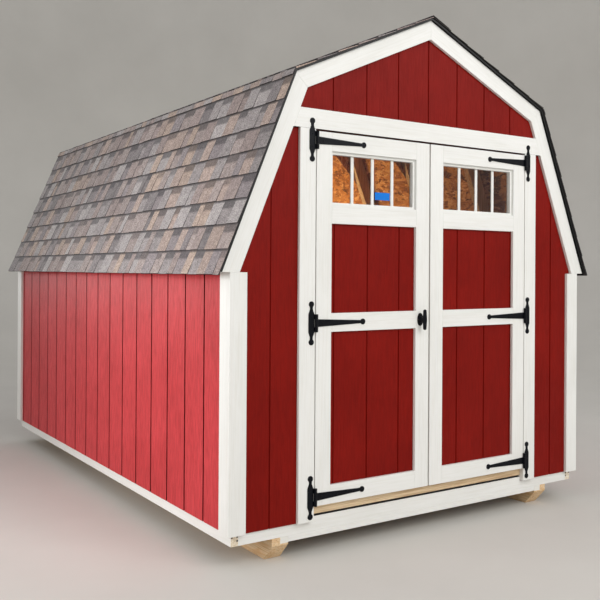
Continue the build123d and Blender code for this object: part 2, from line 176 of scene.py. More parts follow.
# Paint, and dark strips of painted shade, on single faces
painted_skid_width = 0.047
paint_edge_wander = 0.004
paint_reach = 0.004
paint_lap = 0.002
dark_end_lap = 0.002
rebate_reach = 0.020
head_gap_shade_drop = 0.003

# Camera: the photograph's station point and lens
camera_place = (-2.945, front_y - 3.2395, siding_bottom + 1.1827)
camera_yaw = math.radians(33.4748)
camera_pitch = 0.002
camera_roll = 0.0063
camera_lens = 49.94
camera_shift = (0.0026, -0.0528)
camera_sensor = 36.0

# Light and stage
world_colour = (0.97, 0.98, 1.0, 1)
world_strength = 0.70
lamp_white = (1.0, 1.0, 1.0)
lamp_warm = (1.0, 0.84, 0.62)
side_beam = math.radians(90)
stage_radius = 11.0
stage_curve = 5.0
stage_height = 9.0
stage_turns = 96
stage_bends = 12


def srgb(red, green, blue):
    """A screen colour of 0 to 255 as the linear colour that a shader takes."""
    shares = [value / 255 for value in (red, green, blue)]
    linear = [s / 12.92 if s <= 0.04045 else ((s + 0.055) / 1.055) ** 2.4 for s in shares]
    return (*linear, 1)


unshaded = srgb(255, 255, 255)


# The roof line: points of the right-hand slopes at a distance out from the sheets' underside

lower_run, lower_rise = eave_x - break_x, break_z - eave_z
upper_rise = ridge_z - break_z
lower_length = math.hypot(lower_run, lower_rise)
upper_length = math.hypot(break_x, upper_rise)
lower_down = Vector((lower_run, -lower_rise)) / lower_length
lower_out = Vector((lower_rise, lower_run)) / lower_length
upper_down = Vector((break_x, -upper_rise)) / upper_length
upper_out = Vector((upper_rise, break_x)) / upper_length


def upper_z(x, out=0):
    """Height of the upper slope over a place across the barn."""
    return ridge_z - x * upper_rise / break_x + out / upper_out.y


def lower_z(x, out=0):
    """Height of the lower slope over a place across the barn."""
    return eave_z + (eave_x - x) * lower_rise / lower_run + out / lower_out.y


def break_at(out):
    """Where the two slopes meet."""
    slope_difference = lower_rise / lower_run - upper_rise / break_x
    x = (lower_z(0, out) - upper_z(0, out)) / slope_difference
    return Vector((x, upper_z(x, out)))


def roof_z(x):
    """Height of the sheets' underside over a place across the barn."""
    return min(upper_z(abs(x)), lower_z(abs(x)))


# Finishes

class Finish:
    """A procedural material, put together node by node."""

    def __init__(self, name, **sockets):
        self.material = bpy.data.materials.new(name)
        self.material.use_nodes = True
        self.nodes = self.material.node_tree.nodes
        self.links = self.material.node_tree.links
        self.shader = self.nodes["Principled BSDF"]
        self.feed(self.shader, {socket.replace("_", " "): value for socket, value in sockets.items()})

    def feed(self, node, inputs):
        """Give a node's inputs plain values or the outputs of other nodes."""
        for key, value in inputs.items():
            socket = node.inputs[key]
            if isinstance(value, bpy.types.NodeSocket):
                self.links.new(value, socket)
            else:
                socket.default_value = value

    def add(self, kind, inputs, **settings):
        node = self.nodes.new("ShaderNode" + kind)
        for setting, value in settings.items():
            setattr(node, setting, value)
        self.feed(node, inputs)
        return node

    def place(self, along=(0, 0, 1), stretch=1.0):
        """Coordinates on the piece, drawn out along one direction."""
        spot = self.add("TexCoord", {}).outputs["Object"]
        turn = Vector(along).to_track_quat("Z", "Y").to_euler()
        inputs = {"Vector": spot, "Rotation": turn, "Scale": (1, 1, stretch)}
        return self.add("Mapping", inputs, vector_type="TEXTURE").outputs["Vector"]

    def noise(self, vector, scale, detail=4.0, roughness=0.55, distortion=0.0):
        inputs = {"Vector": vector, "Scale": scale, "Detail": detail}
        inputs.update({"Roughness": roughness, "Distortion": distortion})
        return self.add("TexNoise", inputs).outputs["Fac"]

    def cells(self, vector, scale):
        """A random colour for each cell."""
        return self.add("TexVoronoi", {"Vector": vector, "Scale": scale}).outputs["Color"]

    def ramp(self, fac, *stops):
        """Colours at places along a value from 0 to 1."""
        node = self.add("ValToRGB", {"Fac": fac})
        points = node.color_ramp.elements
        while len(points) < len(stops):
            points.new(1)
        for point, (position, colour) in zip(points, stops):
            point.position = position
            point.color = colour
        return node.outputs["Color"]

    def span(self, value, low, high, new_low, new_high):
        """A value carried over from one range to another."""
        inputs = {"Value": value, "From Min": low, "From Max": high}
        inputs.update({"To Min": new_low, "To Max": new_high})
        return self.add("MapRange", inputs).outputs["Result"]

    def calc(self, operation, first, second=0):
        """One step of arithmetic."""
        return self.add("Math", {0: first, 1: second}, operation=operation).outputs["Value"]

    def blend(self, fac, first, second, mode="MIX"):
        """Two colours mixed; the node keeps its colour sockets at 6, 7 and 2."""
        inputs = {0: fac, 6: first, 7: second}
        return self.add("Mix", inputs, data_type="RGBA", blend_type=mode).outputs[2]

    def bump(self, height, strength, distance):
        """Relief from a height, in metres over its whole range."""
        inputs = {"Height": height, "Strength": strength, "Distance": distance}
        return self.add("Bump", inputs).outputs["Normal"]

    def wear(self, colour, roughness, normal):
        """Give the surface its colour, gloss and relief, and hand the material over."""
        self.feed(self.shader, {"Base Color": colour, "Roughness": roughness, "Normal": normal})
        return self.material


def red_paint(name, dark, pale, shine, bloom, hollow, emboss):
    """Satin barn red over siding embossed with an upright grain, with painted shade darkening the hollows
    of the grain.
    """
    finish = Finish(name, Specular_IOR_Level=shine, Sheen_Weight=bloom, Sheen_Roughness=0.35)
    finish.shader.inputs["Sheen Tint"].default_value = srgb(240, 80, 76)
    spot = finish.place()
    grain = finish.noise(finish.place(stretch=12.0), scale=150.0, detail=6.0, distortion=0.6)
    fibres = finish.noise(finish.place(stretch=60.0), scale=420.0, detail=3.0)
    mottle = finish.noise(spot, scale=2.4, detail=5.0)
    colour = finish.ramp(mottle, (0.30, dark), (0.70, pale))
    # The hollow colour darkens the hollows of the grain: painted shade.
    shade = finish.ramp(grain, (0.32, hollow), (0.62, unshaded))
    colour = finish.blend(0.8, colour, shade, "MULTIPLY")
    relief = finish.calc("ADD", grain, finish.calc("MULTIPLY", fibres, 0.4))
    gloss = finish.span(grain, 0.3, 0.7, 0.50, 0.38)
    return finish.wear(colour, gloss, finish.bump(relief, strength=emboss, distance=0.0022))


def white_paint(name, along):
    """White paint over boards with a light grain along one direction."""
    finish = Finish(name, Specular_IOR_Level=0.35)
    grain = finish.noise(finish.place(along, stretch=30.0), scale=130.0, detail=6.0, distortion=0.5)
    fibres = finish.noise(finish.place(along, stretch=70.0), scale=380.0, detail=3.0)
    smudge = finish.noise(finish.place(along, stretch=3.0), scale=6.0, detail=7.0, roughness=0.65)
    colour = finish.ramp(smudge, (0.28, srgb(231, 231, 227)), (0.55, srgb(238, 238, 235)))
    shade = finish.ramp(grain, (0.30, srgb(246, 245, 242)), (0.55, unshaded))
    colour = finish.blend(0.7, colour, shade, "MULTIPLY")
    relief = finish.calc("ADD", grain, finish.calc("MULTIPLY", fibres, 0.4))
    gloss = finish.span(smudge, 0.3, 0.7, 0.62, 0.46)
    return finish.wear(colour, gloss, finish.bump(relief, strength=0.15, distance=0.0015))


def wood(name, along, dark, pale, painted=None):
    """Sawn softwood: growth rings drawn out along the board, with fine fibres over them."""
    finish = Finish(name, Specular_IOR_Level=0.25)
    rings = finish.noise(finish.place(along, stretch=14.0), scale=26.0, detail=4.0, distortion=1.6)
    fibres = finish.noise(finish.place(along, stretch=45.0), scale=260.0, detail=4.0)
    patch = finish.noise(finish.place(along, stretch=4.0), scale=5.0, detail=3.0)
    colour = finish.ramp(rings, (0.34, dark), (0.50, pale), (0.60, dark), (0.72, pale))
    shade = finish.ramp(fibres, (0.30, srgb(196, 184, 170)), (0.60, unshaded))
    colour = finish.blend(0.75, colour, shade, "MULTIPLY")
    tint = finish.ramp(patch, (0.35, srgb(228, 216, 204)), (0.65, unshaded))
    colour = finish.blend(0.7, colour, tint, "MULTIPLY")
    if painted:
        colour = finish.blend(painted(finish), colour, srgb(232, 231, 225))
    relief = finish.calc("ADD", fibres, finish.calc("MULTIPLY", rings, 0.6))
    gloss = finish.span(fibres, 0.3, 0.7, 0.80, 0.62)
    return finish.wear(colour, gloss, finish.bump(relief, strength=0.3, distance=0.0015))


def skid_overspray(finish):
    """1 on the inner part of the skids' upright ends, which took some of the white paint."""
    spot = finish.add("TexCoord", {}).outputs["Object"]
    axes = finish.add("SeparateXYZ", {"Vector": spot}).outputs
    ragged = finish.calc("MULTIPLY", finish.noise(spot, scale=60.0), paint_edge_wander)
    across = finish.calc("ADD", finish.calc("ABSOLUTE", axes["X"]), ragged)
    inside = finish.calc("LESS_THAN", across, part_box("skid_crosspieces")[1].x + painted_skid_width)
    reach = finish.calc("ABSOLUTE", axes["Y"])
    ends = finish.calc("GREATER_THAN", reach, abs(frame_front_y) - paint_reach)
    high = finish.calc("GREATER_THAN", axes["Z"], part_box("skid_crosspieces")[0].z - paint_lap)
    return finish.calc("MULTIPLY", inside, finish.calc("MULTIPLY", ends, high))


def sheet_end_shade(finish):
    """1 where the roof sheets reach out past the rakes, under the drip edges: there the board is darkened
    to near black as painted shade.
    """
    spot = finish.add("TexCoord", {}).outputs["Object"]
    along = finish.add("SeparateXYZ", {"Vector": spot}).outputs["Y"]
    middle = (roof_front_y + roof_back_y) / 2
    reach = finish.calc("ABSOLUTE", finish.calc("SUBTRACT", along, middle))
    return finish.calc("GREATER_THAN", reach, middle - trim_front_y - dark_end_lap)


def strand_board(name, along, darkened=None):
    """Pressed strands of mixed tone, lying mostly one way."""
    finish = Finish(name, Specular_IOR_Level=0.25)
    along = Vector(along)
    across = Vector((along.y, along.z, along.x))
    strands = ((0.15, 27.0), (0.9, 32.0), (-0.7, 36.0))
    under, over = (0, 0, 0, 1), (1, 1, 1, 1)
    layers = []
    for lean, scale in strands:
        lay = along * math.cos(lean) + across * math.sin(lean)
        spot = finish.place(lay, stretch=5.0)
        wander = finish.calc("MULTIPLY", finish.noise(spot, scale=22.0, detail=2.0), 0.02)
        bent = finish.add("VectorMath", {0: spot, 1: wander}, operation="ADD").outputs["Vector"]
        layers.append(finish.cells(bent, scale))
    cover = finish.noise(finish.place(along, stretch=2.0), scale=30.0, detail=3.0)
    pick = finish.ramp(cover, (0.46, under), (0.50, over))
    mixed = finish.blend(pick, layers[0], layers[1])
    cover = finish.noise(finish.place(along, stretch=3.0), scale=47.0, detail=2.0)
    pick = finish.ramp(cover, (0.55, under), (0.58, over))
    mixed = finish.blend(pick, mixed, layers[2])
    tone = finish.add("SeparateColor", {"Color": mixed}).outputs["Red"]
    colour = finish.ramp(
        tone,
        (0.0, srgb(108, 58, 20)),
        (0.35, srgb(170, 102, 42)),
        (0.7, srgb(202, 133, 62)),
        (1.0, srgb(228, 170, 102)),
    )
    fibres = finish.noise(finish.place(along, stretch=12.0), scale=300.0, detail=3.0)
    shade = finish.ramp(fibres, (0.30, srgb(190, 170, 150)), (0.60, unshaded))
    colour = finish.blend(0.7, colour, shade, "MULTIPLY")
    # Darkening to near black where the mask is 1: painted shade.
    if darkened:
        colour = finish.blend(darkened(finish), colour, srgb(18, 18, 19))
    gloss = finish.span(tone, 0.0, 1.0, 0.72, 0.55)
    relief = finish.calc("ADD", tone, finish.calc("MULTIPLY", fibres, 0.5))
    return finish.wear(colour, gloss, finish.bump(relief, strength=0.3, distance=0.0012))


def shingle_granules():
    """Mineral granules: each tab has its own blend, darker near the course above where it lies back and in
    a line under each course; the darkening is partly darker granules, partly painted shade.
    """
    finish = Finish("shingle_granules", Specular_IOR_Level=0.2)
    tab = finish.add("Attribute", {}, attribute_name="tab").outputs
    spot = finish.place()
    speckle = finish.cells(spot, 620.0)
    grey = finish.add("SeparateColor", {"Color": speckle}).outputs["Green"]
    fleck = finish.ramp(
        grey,
        (0.0, srgb(120, 116, 116)),
        (0.55, srgb(236, 233, 231)),
        (1.0, unshaded),
    )
    patch = finish.noise(spot, scale=38.0, detail=6.0, roughness=0.7)
    drift = finish.ramp(patch, (0.30, srgb(192, 188, 190)), (0.66, srgb(255, 253, 250)))
    clump = finish.noise(spot, scale=170.0, detail=3.0, roughness=0.7)
    crumb = finish.ramp(clump, (0.36, srgb(178, 172, 172)), (0.58, srgb(255, 253, 251)))
    colour = finish.blend(0.75, tab["Color"], fleck, "MULTIPLY")
    colour = finish.blend(0.8, colour, drift, "MULTIPLY")
    colour = finish.blend(0.8, colour, crumb, "MULTIPLY")
    laid_back = finish.add("Attribute", {}, attribute_name="laid_back").outputs["Fac"]
    ragged = finish.calc("ADD", tab["Alpha"], finish.span(patch, 0.3, 0.7, -0.06, 0.06))
    # Dark band at the top of tabs that lie back, and a dark line just under each course: partly darker
    # granules, partly painted shade from the course above.
    band = finish.calc("MULTIPLY", finish.span(ragged, 0.60, 0.70, 0.0, 0.62), laid_back)
    line = finish.span(tab["Alpha"], 0.88, 0.95, 0.0, 0.78)
    colour = finish.blend(finish.calc("MAXIMUM", band, line), colour, srgb(58, 55, 59))
    gloss = finish.span(grey, 0.0, 1.0, 0.98, 0.84)
    relief = finish.calc("ADD", grey, finish.calc("MULTIPLY", patch, 0.8))
    return finish.wear(colour, gloss, finish.bump(relief, strength=0.5, distance=0.0016))


def asphalt_edge_and_shade():
    """The cut edge of a shingle: dark asphalt, made darker as painted shade under the butts; also painted
    shade in the floor sheet's rebate.
    """
    finish = Finish("asphalt_edge_and_shade", Specular_IOR_Level=0.2)
    crumb = finish.noise(finish.place(), scale=300.0, detail=5.0)
    colour = finish.ramp(crumb, (0.35, srgb(38, 36, 37)), (0.65, srgb(66, 63, 63)))
    gloss = finish.span(crumb, 0.3, 0.7, 0.95, 0.8)
    return finish.wear(colour, gloss, finish.bump(crumb, strength=0.4, distance=0.001))


def black_metal(name, dark, pale, rough, smooth, grain, shine):
    """Black coated metal with a faint orange-peel."""
    finish = Finish(name, Specular_IOR_Level=shine)
    peel = finish.noise(finish.place(), scale=grain, detail=4.0)
    cloud = finish.noise(finish.place(), scale=9.0, detail=5.0)
    colour = finish.ramp(cloud, (0.30, dark), (0.70, pale))
    gloss = finish.span(cloud, 0.3, 0.7, rough, smooth)
    return finish.wear(colour, gloss, finish.bump(peel, strength=0.15, distance=0.0008))


def clear_glass():
    """Window glass with faint waves and dust."""
    finish = Finish("clear_glass", Transmission_Weight=1.0, IOR=1.45, Specular_IOR_Level=0.06)
    dust = finish.noise(finish.place(), scale=16.0, detail=6.0)
    colour = finish.ramp(dust, (0.35, srgb(250, 252, 251)), (0.75, srgb(238, 243, 241)))
    gloss = finish.span(dust, 0.4, 0.8, 0.0, 0.03)
    wave = finish.noise(finish.place(), scale=5.0, detail=1.0)
    return finish.wear(colour, gloss, finish.bump(wave, strength=0.02, distance=0.001))


def blue_tape():
    """Crinkled paper tape."""
    finish = Finish("blue_tape", Specular_IOR_Level=0.2)
    crinkle = finish.noise(finish.place((1, 0, 0), stretch=0.25), scale=420.0, detail=3.0)
    colour = finish.ramp(crinkle, (0.30, srgb(10, 104, 206)), (0.70, srgb(26, 134, 228)))
    gloss = finish.span(crinkle, 0.3, 0.7, 0.75, 0.6)
    return finish.wear(colour, gloss, finish.bump(crinkle, strength=0.4, distance=0.0006))


def stage_finish():
    """Pale smooth floor and backdrop."""
    finish = Finish("stage_finish", Specular_IOR_Level=0.1)
    cloud = finish.noise(finish.place(), scale=0.7, detail=6.0)
    colour = finish.ramp(cloud, (0.30, srgb(206, 203, 197)), (0.70, srgb(214, 211, 205)))
    gloss = finish.span(cloud, 0.3, 0.7, 0.80, 0.70)
    return finish.wear(colour, gloss, finish.bump(cloud, strength=0.05, distance=0.002))


red = red_paint(
    "red_paint", srgb(122, 17, 10), srgb(136, 22, 14),
    shine=0.08, bloom=0.25, hollow=srgb(226, 221, 221), emboss=0.35,
)
# Paler, pinker red for the side walls: painted light, standing for the strong light and glare that the
# side walls take.
side_glare_red = red_paint(
    "red_paint_side_glare", srgb(199, 63, 67), srgb(217, 75, 80),
    shine=0.05, bloom=0.05, hollow=srgb(204, 192, 192), emboss=0.7,
)
# Darker red for the bottoms of the side walls' grooves: painted shade in the grooves.
groove_shade_red = red_paint(
    "red_paint_groove_shade", srgb(92, 12, 15), srgb(108, 16, 19),
    shine=0.08, bloom=0.1, hollow=srgb(226, 221, 221), emboss=0.35,
)
white_up = white_paint("white_paint_upright", (0, 0, 1))
white_across = white_paint("white_paint_across", (1, 0, 0))
white_lengthwise = white_paint("white_paint_lengthwise", (0, 1, 0))
white_slopes = {
    "lower_right": white_paint("white_paint_lower_right", (lower_down.x, 0, lower_down.y)),
    "lower_left": white_paint("white_paint_lower_left", (-lower_down.x, 0, lower_down.y)),
    "upper_right": white_paint("white_paint_upper_right", (upper_down.x, 0, upper_down.y)),
    "upper_left": white_paint("white_paint_upper_left", (-upper_down.x, 0, upper_down.y)),
}
pine_dark, pine_pale = srgb(196, 150, 96), srgb(224, 188, 140)
pine_up = wood("pine_upright", (0, 0, 1), pine_dark, pine_pale)
pine_across = wood("pine_across", (1, 0, 0), pine_dark, pine_pale)
pine_lengthwise = wood("pine_lengthwise", (0, 1, 0), pine_dark, pine_pale)
treated = wood("treated_pine_across", (1, 0, 0), srgb(216, 188, 152), srgb(238, 216, 180))
end_grain = wood("end_grain", (0, 1, 0), srgb(238, 222, 194), srgb(252, 245, 230))
skid_timber = wood("skid_wood", (0, 1, 0), srgb(236, 198, 150), srgb(250, 227, 191), skid_overspray)
roof_strands = strand_board("roof_strand_board", (0, 1, 0), sheet_end_shade)
wall_strands = strand_board("wall_strand_board", (0, 0, 1))
granules = shingle_granules()
dark_edge_and_shade = asphalt_edge_and_shade()
# Black drip-edge metal; also painted shade under the header board and in the gap over the doors.
drip_metal_and_gap_shade = black_metal(
    "black_metal_edge", srgb(15, 15, 16), srgb(22, 22, 23),
    rough=0.5, smooth=0.36, grain=300.0, shine=0.3,
)
iron = black_metal(
    "black_iron", srgb(7, 9, 14), srgb(12, 15, 22),
    rough=0.46, smooth=0.34, grain=500.0, shine=0.12,
)
nail_metal = black_metal(
    "nail_metal", srgb(44, 40, 38), srgb(70, 64, 60),
    rough=0.6, smooth=0.45, grain=700.0, shine=0.22,
)
glass = clear_glass()
tape_paper = blue_tape()


# Pieces

def finish_piece(bm, name, materials, body, nodes=(), smooth_angle=None):
    """Turn a mesh into a piece that rides on a body and stands for CAD nodes."""
    bmesh.ops.recalc_face_normals(bm, faces=bm.faces[:])
    mesh = bpy.data.meshes.new(name)
    bm.to_mesh(mesh)
    bm.free()
    for material in materials:
        mesh.materials.append(material)
    piece = bpy.data.objects.new(name, mesh)
    bpy.context.scene.collection.objects.link(piece)
    if smooth_angle:
        mesh.shade_smooth()
        mesh.set_sharp_from_angle(angle=smooth_angle)
        piece.modifiers.new("even_shading", "WEIGHTED_NORMAL").keep_sharp = True
    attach(piece, body)
    if nodes:
        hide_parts(*nodes)


def body_of(node):
    """The body that a CAD node rides on."""
    return frame["nodes"][node]["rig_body"]


def ease_edges(bm, edges, ease):
    """Round edges off in a few narrow facets."""
    bmesh.ops.bevel(bm, geom=edges, offset=ease, offset_type="OFFSET", segments=ease_segments,
                    profile=ease_profile, affect="EDGES", clamp_overlap=True)


def eased_mesh(node, ease, sharp_angle):
    """A CAD node's shape with its sharp edges eased."""
    bm = bmesh.new()
    bm.from_mesh(frame["nodes"][node].data)
    bmesh.ops.remove_doubles(bm, verts=bm.verts[:], dist=same_place)
    bmesh.ops.dissolve_limit(bm, angle_limit=flat_angle, verts=bm.verts[:], edges=bm.edges[:])
    sharp = [edge for edge in bm.edges if edge.is_manifold and edge.calc_face_angle() > sharp_angle]
    ease_edges(bm, sharp, ease)
    return bm


def board(node, name, slot, *materials, choose=None):
    """A board or boards with eased edges; choose picks a face's material from its centre and normal."""
    bm = eased_mesh(node, board_ease, board_sharp_angle)
    if choose:
        for face in bm.faces:
            face.material_index = choose(face.calc_center_median(), face.normal)
    finish_piece(bm, name, materials, body_of(node), [node])


def add_block(bm, low, high):
    """A box between two corners, as part of a larger mesh."""
    middle = (Vector(low) + Vector(high)) / 2
    size = Vector(high) - Vector(low)
    place = Matrix.Translation(middle) @ Matrix.Diagonal((*size, 1))
    bmesh.ops.create_cube(bm, size=1, matrix=place)


def add_dome(bm, middle, facing, radius, height):
    """A low domed head, its flat side on the middle point and its crown towards facing."""
    turn = Vector(facing).to_track_quat("Z", "Y").to_matrix().to_4x4()
    place = Matrix.Translation(Vector(middle)) @ turn
    angles = [2 * math.pi * side / dome_sides for side in range(dome_sides)]
    loops = []
    for share, rise in dome_shares:
        reach = radius * share
        spots = [Vector((reach * math.cos(a), reach * math.sin(a), height * rise)) for a in angles]
        loops.append([bm.verts.new(place @ spot) for spot in spots])
    for low, high in zip(loops, loops[1:]):
        for side in range(dome_sides):
            after = (side + 1) % dome_sides
            bm.faces.new((low[side], low[after], high[after], high[side]))
    bm.faces.new(loops[0][::-1])
    bm.faces.new(loops[-1])


# Siding

def sheet_columns(low, high, grooves, width=groove_width, depth=groove_depth):
    """(place, groove depth) across a sheet, with the four corners of each groove."""
    columns = [(low, 0.0)]
    half = width / 2
    for groove in sorted(grooves):
        if low + half < groove < high - half:
            columns.append((groove - half, 0.0))
            columns.append((groove - half + groove_slope, depth))
            columns.append((groove + half - groove_slope, depth))
            columns.append((groove + half, 0.0))
    return columns + [(high, 0.0)]


def sheet_mesh(columns, rows, place, hole=None):
    """A closed sheet, built up from columns across it.

    rows(u, d) gives the heights in a column, and place(u, d, v) puts a point in the frame. d is the
    distance out from the sheet's back. hole gives the edges of an opening along both ways.
    """
    bm = bmesh.new()
    grid = []
    for u, cut in columns:
        front = siding_thickness - cut
        grid.append([
            [bm.verts.new(place(u, d, v)) for v in rows(u, d)]
            for d in (0.0, front)
        ])
    last_row = len(grid[0][0]) - 1

    def inside(i, j):
        if not (0 <= i < len(columns) - 1 and 0 <= j < last_row):
            return False
        if hole is None:
            return True
        middle_u = (columns[i][0] + columns[i + 1][0]) / 2
        heights = rows(columns[i][0], 0.0)
        middle_v = (heights[j] + heights[j + 1]) / 2
        return not (hole[0] < middle_u < hole[1] and hole[2] < middle_v < hole[3])

    for i in range(len(columns) - 1):
        for j in range(last_row):
            if not inside(i, j):
                continue
            corners = [(i, j), (i + 1, j), (i + 1, j + 1), (i, j + 1)]
            back = bm.faces.new([grid[a][0][b] for a, b in corners])
            back.material_index = 1
            bm.faces.new([grid[a][1][b] for a, b in corners])
            beyond = [(i, j - 1), (i + 1, j), (i, j + 1), (i - 1, j)]
            for side, neighbour in enumerate(beyond):
                if not inside(*neighbour):
                    (a, b), (c, d) = corners[side], corners[(side + 1) % len(corners)]
                    bm.faces.new((grid[a][0][b], grid[c][0][d], grid[c][1][d], grid[a][1][b]))
    return bm


def make_side_walls():
    """Grooved walls along both sides, in a paler red that is painted light."""
    grooves = [front_y + side_groove_start + groove_pitch * i for i in range(side_groove_count)]
    columns = sheet_columns(front_y, back_y, grooves, side_groove_width, side_groove_depth)
    groove_bottom = wall_face - side_groove_depth
    for side, sign in (("left", -1), ("right", 1)):
        bm = sheet_mesh(
            columns,
            rows=lambda u, d: [siding_bottom, lower_z(frame_face + d)],
            place=lambda u, d, v: (sign * (frame_face + d), u, v),
        )
        # Groove bottoms take the darker red: painted shade in the grooves.
        for face in bm.faces:
            if any(abs(abs(vert.co.x) - groove_bottom) < same_place for vert in face.verts):
                face.material_index = 2
        # The paler red on the side walls is painted light.
        materials = [side_glare_red, wall_strands, groove_shade_red]
        finish_piece(bm, f"{side}_siding", materials, "barn", [f"{side}_wall"])


def make_end_walls():
    """The back wall, the front gable and the walls beside the doors."""
    pitches = [groove_pitch * i for i in range(-end_groove_reach, end_groove_reach + 1)]
    roof_breaks = [(-break_x, 0.0), (break_x, 0.0)]
    whole = sorted(sheet_columns(-frame_face, frame_face, pitches) + roof_breaks)
    bm = sheet_mesh(
        whole,
        rows=lambda u, d: [siding_bottom, roof_z(u)],
        place=lambda u, d, v: (u, frame_back_y + d, v),
    )
    finish_piece(bm, "back_siding", [red, wall_strands], "barn", ["back_wall"])

    gable_half = eave_x - (door_head - eave_z) * lower_run / lower_rise
    over = sorted(sheet_columns(-gable_half, gable_half, pitches) + roof_breaks)
    bm = sheet_mesh(
        over,
        rows=lambda u, d: [door_head, max(roof_z(u), door_head + sliver)],
        place=lambda u, d, v: (u, frame_front_y - d, v),
    )
    finish_piece(bm, "gable_siding", [red, wall_strands], "barn", ["front_gable"])

    for side, sign in (("left", -1), ("right", 1)):
        columns = sheet_columns(opening_half, frame_face, [beside_door_groove])
        columns = sorted([*columns, (gable_half, 0.0)])
        bm = sheet_mesh(
            columns,
            rows=lambda u, d: [siding_bottom, min(door_head, roof_z(u))],
            place=lambda u, d, v: (sign * u, frame_front_y - d, v),
        )
        for face in bm.faces:
            if all(abs(abs(vert.co.x) - opening_half) < same_place for vert in face.verts):
                face.material_index = 2
        materials = [red, wall_strands, white_up]
        node = f"front_wall_{side}"
        finish_piece(bm, f"front_siding_{side}", materials, "barn", [node])


def make_door_panels():
    """Grooved door panels with their window openings."""
    heights = [leaf_low.z, window_low.z, window_high.z, leaf_high.z]
    firsts = {"left": left_door_groove, "right": right_door_groove}
    for side, sign in (("left", -1), ("right", 1)):
        low, high = sorted((sign * leaf_low.x, sign * leaf_high.x))
        opening = sorted((sign * window_low.x, sign * window_high.x))
        grooves = [firsts[side] + groove_pitch * i for i in range(door_groove_count)]
        edges = [(edge, 0.0) for edge in opening]
        columns = sorted(sheet_columns(low, high, grooves) + edges)
        bm = sheet_mesh(
            columns,
            rows=lambda u, d: heights,
            place=lambda u, d, v: (u, frame_front_y - d, v),
            hole=(*opening, window_low.z, window_high.z),
        )
        node = f"{side}_door_panel"
        finish_piece(bm, f"{side}_door_siding", [red, wall_strands], body_of(node), [node])


# White trim

def make_trim():
    """White boards outside, each with its grain along it."""
    board("end_corner_boards", "end_corner_trim", "white_paint", white_up)
    board("side_corner_boards", "side_corner_trim", "white_paint", white_up)
    board("door_casings", "door_casing_trim", "white_paint", white_up)
    # The header board's underside is black: painted shade in the gap over the doors.
    board("front_header_board", "header_trim", "white_paint", white_across, drip_metal_and_gap_shade,
          choose=lambda middle, normal: int(normal.z < -square_on))
    board("upper_rakes_left", "upper_rake_trim_left", "white_paint", white_slopes["upper_left"])
    board("upper_rakes_right", "upper_rake_trim_right", "white_paint", white_slopes["upper_right"])
    board("lower_rakes", "lower_rake_trim", "white_paint",
          white_slopes["lower_left"], white_slopes["lower_right"],
          choose=lambda middle, normal: int(middle.x > 0))
    board("end_rim_joists", "end_rims", "white_paint", white_across)
    board("side_rim_joists", "side_rims", "white_paint", white_lengthwise, end_grain,
          choose=lambda middle, normal: int(abs(normal.y) > square_on))
    board("skid_crosspieces", "skid_crosspiece_boards", "white_paint", white_across)
    for side in ("left", "right"):
        board(f"{side}_door_stiles", f"{side}_door_stile_trim", "white_paint", white_up)
        board(f"{side}_door_rails", f"{side}_door_rail_trim", "white_paint", white_across)
        board(f"{side}_window_frame", f"{side}_window_surround", "white_paint", white_across)


# Bare timber

def floor_face(middle, normal):
    """Which finish a face of the floor sheet has: painted edges, and painted shade in the rebate under the
    doorway.
    """
    painted_end = normal.y < -square_on and middle.y < frame_front_y + board_ease
    if painted_end or abs(normal.x) > square_on:
        return 1
    # Faces of the rebate under the threshold take the dark edge finish: painted shade in the gap.
    in_doorway = abs(middle.x) < opening_half and middle.y < frame_front_y + rebate_reach
    return 2 if in_doorway and middle.z > floor_low.z + board_ease else 0


def make_timber():
    """Boards and sheets with no paint, or with some on their edges."""
    board("skids", "skid_runners", "skid_wood", skid_timber)
    board("door_threshold", "threshold_board", "treated_pine", treated)
    board("floor_deck", "floor_sheet", "sheet_wood", pine_lengthwise, white_across, dark_edge_and_shade,
          choose=floor_face)


def dress_kept_nodes():
    """Finishes for the CAD pieces that keep their own shape."""
    finishes = {
        "floor_joists": pine_across,
        "side_wall_plates": pine_lengthwise,
        "end_wall_plates": pine_across,
        "side_wall_studs": pine_up,
        "end_wall_studs": pine_up,
        "door_header": pine_across,
        "lower_rafters": pine_up,
        "upper_rafters": pine_across,
        "ridge_board": pine_lengthwise,
        "rafter_gussets": wall_strands,
        "roof_deck_lower": roof_strands,
        "roof_deck_upper_left": roof_strands,
        "roof_deck_upper_right": roof_strands,
        "left_door_ledges": pine_across,
        "right_door_ledges": pine_across,
        "drip_edges": drip_metal_and_gap_shade,
        "left_window_glass": glass,
        "right_window_glass": glass,
    }
    for node, material in finishes.items():
        mesh = frame["nodes"][node].data
        mesh.materials.clear()
        mesh.materials.append(material)


# Shingles

# Colours of the tabs, and how many parts of each go into the mix
tab_blends = [
    (srgb(204, 187, 179), 4),
    (srgb(192, 181, 179), 6),
    (srgb(181, 177, 179), 5),
    (srgb(202, 199, 201), 5),
    (srgb(171, 165, 169), 4),
    (srgb(208, 190, 178), 3),
    (srgb(158, 154, 157), 3),
    (srgb(186, 173, 171), 5),
]


def pick_blend(rng):
    """A tab's own colour, from the blends in their shares."""
    colours = [colour for colour, share in tab_blends for turn in range(share)]
    tone = rng.uniform(*tab_tone_range)
    return [channel * tone for channel in rng.choice(colours)[:3]]


